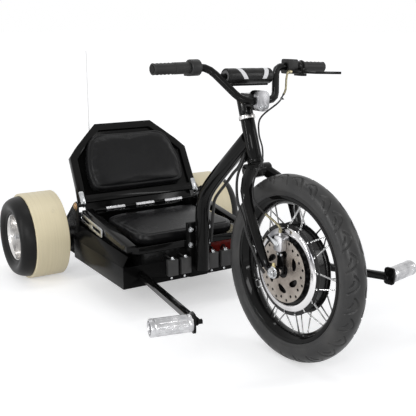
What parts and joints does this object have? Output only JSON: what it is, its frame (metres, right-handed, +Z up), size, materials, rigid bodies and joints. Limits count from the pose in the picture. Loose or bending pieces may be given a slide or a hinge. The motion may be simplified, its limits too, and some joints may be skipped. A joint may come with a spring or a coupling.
{
  "type": "drift trike",
  "caption": "Low drift trike: spoked hub-motor front wheel with disc brake, bent tube frame, battery box under a padded seat, smooth-sleeved rear wheels and long foot peg arms",
  "frame": {"origin": "on the ground under the middle of the trike's length, on its middle plane", "axes": "+X to the rider's left, -Y forward (the driven wheel's end), +Z up; the bars and front wheel stand 3.7 degrees to the left of straight, as in the picture, backrest up"},
  "size_m": [0.934, 1.5125, 0.838],
  "materials": {
    "gloss_black": "gloss",
    "satin_black": "satin",
    "vinyl": "coated, semi-gloss",
    "rubber": "matte",
    "tyre": "matte",
    "soft_black": "matte",
    "polished": "polished",
    "zinc": "zinc plated",
    "cast_alloy": "cast, satin",
    "rotor_steel": "ground",
    "cream_plastic": "semi-gloss",
    "wrap_red": "shrink wrap",
    "mast_white": "satin"
  },
  "bodies": {
    "frame": {"main_frame": "gloss_black", "battery_box": "satin_black", "battery_pack": "wrap_red", "motor_controller": "cast_alloy", "seat_pan": "gloss_black", "seat_cushion": "vinyl", "hinge_rod": "polished", "rear_axle": "zinc", "whip_mast": "mast_white", "whip_foot": "soft_black", "headset_cup_upper": "soft_black", "headset_cup_lower": "soft_black", "frame_loom": "soft_black", "terminal_block_outer_right": "soft_black", "terminal_block_outer_left": "soft_black", "terminal_block_inner_right": "soft_black", "terminal_block_inner_left": "soft_black", "seat_adjuster_right": "zinc", "seat_adjuster_left": "zinc", "axle_plate_right": "satin_black", "axle_plate_left": "satin_black", "peg_arm_right": "gloss_black", "peg_arm_left": "gloss_black", "foot_peg_right": "polished", "foot_peg_left": "polished"},
    "backrest": {"backrest_shell": "gloss_black", "backrest_cushion": "vinyl", "backrest_bracket_right": "zinc", "backrest_bracket_left": "zinc"},
    "steering": {"fork": "gloss_black", "stem": "gloss_black", "stem_faceplate": "cast_alloy", "handlebar": "gloss_black", "crossbar_pad": "vinyl", "brake_cable": "soft_black", "motor_cable": "soft_black", "caliper_bracket": "gloss_black", "caliper_body": "cast_alloy", "front_axle": "zinc", "throttle_housing": "soft_black", "grip_right": "rubber", "grip_left": "rubber", "switch_block": "soft_black", "lever_perch": "cast_alloy"},
    "throttle_grip": {"throttle_grip": "rubber"},
    "brake_lever": {"brake_lever": "gloss_black"},
    "horn_button": {"horn_button": "soft_black"},
    "caliper_arm": {"caliper_arm": "zinc"},
    "front_wheel": {"hub_motor": "cast_alloy", "motor_cover_right": "gloss_black", "motor_cover_left": "gloss_black", "brake_rotor": "rotor_steel", "front_rim": "gloss_black", "front_tyre": "tyre"},
    "rear_wheel_right": {"rear_sleeve_right": "cream_plastic", "rear_tyre_right": "tyre", "rear_rim_right": "polished"},
    "rear_wheel_left": {"rear_sleeve_left": "cream_plastic", "rear_tyre_left": "tyre", "rear_rim_left": "polished"}
  },
  "joints": [
    {"name": "steering_hinge", "type": "hinge", "parent": "frame", "child": "steering", "pos_m": [0, -0.306, 0.551], "axis": [0, 0.3567, 0.9342], "range_deg": [-43.7, 36.3]},
    {"name": "front_wheel_spin", "type": "hinge", "parent": "steering", "child": "front_wheel", "pos_m": [0.00456, -0.48986, 0.26695], "axis": [0.9979, 0.0603, -0.023], "continuous": true},
    {"name": "rear_wheel_right_spin", "type": "hinge", "parent": "frame", "child": "rear_wheel_right", "pos_m": [-0.355, 0.597, 0.16], "axis": [1, 0, 0], "continuous": true},
    {"name": "rear_wheel_left_spin", "type": "hinge", "parent": "frame", "child": "rear_wheel_left", "pos_m": [0.355, 0.597, 0.16], "axis": [1, 0, 0], "continuous": true},
    {"name": "throttle_twist", "type": "hinge", "parent": "steering", "child": "throttle_grip", "pos_m": [-0.21568, -0.25109, 0.815], "axis": [-0.9957, -0.0923, 0.0016], "range_deg": [0, 70], "stiffness_Nm_per_rad": 0.35, "springref_deg": -17.19},
    {"name": "brake_lever_pivot", "type": "hinge", "parent": "steering", "child": "brake_lever", "pos_m": [0.20989, -0.25542, 0.7902], "axis": [0.023, 0.0007, 0.9997], "range_deg": [0, 14], "stiffness_Nm_per_rad": 3, "springref_deg": -11.46},
    {"name": "caliper_arm_pivot", "type": "hinge", "parent": "steering", "child": "caliper_arm", "pos_m": [-0.05568, -0.49055, 0.34736], "axis": [0.9979, 0.0603, -0.023], "range_deg": [0, 25]},
    {"name": "backrest_fold", "type": "hinge", "parent": "frame", "child": "backrest", "pos_m": [0, 0.435, 0.289], "axis": [1, 0, 0], "range_deg": [0, 80]},
    {"name": "horn_button_press", "type": "slide", "parent": "steering", "child": "horn_button", "axis": [0.0283, -0.9996, 0], "range_m": [0, 0.0012], "stiffness_N_per_m": 300, "springref_m": -0.002}
  ],
  "couplings": [
    {"joint": "caliper_arm_pivot", "follows": "brake_lever_pivot", "ratio": 1.75}
  ]
}
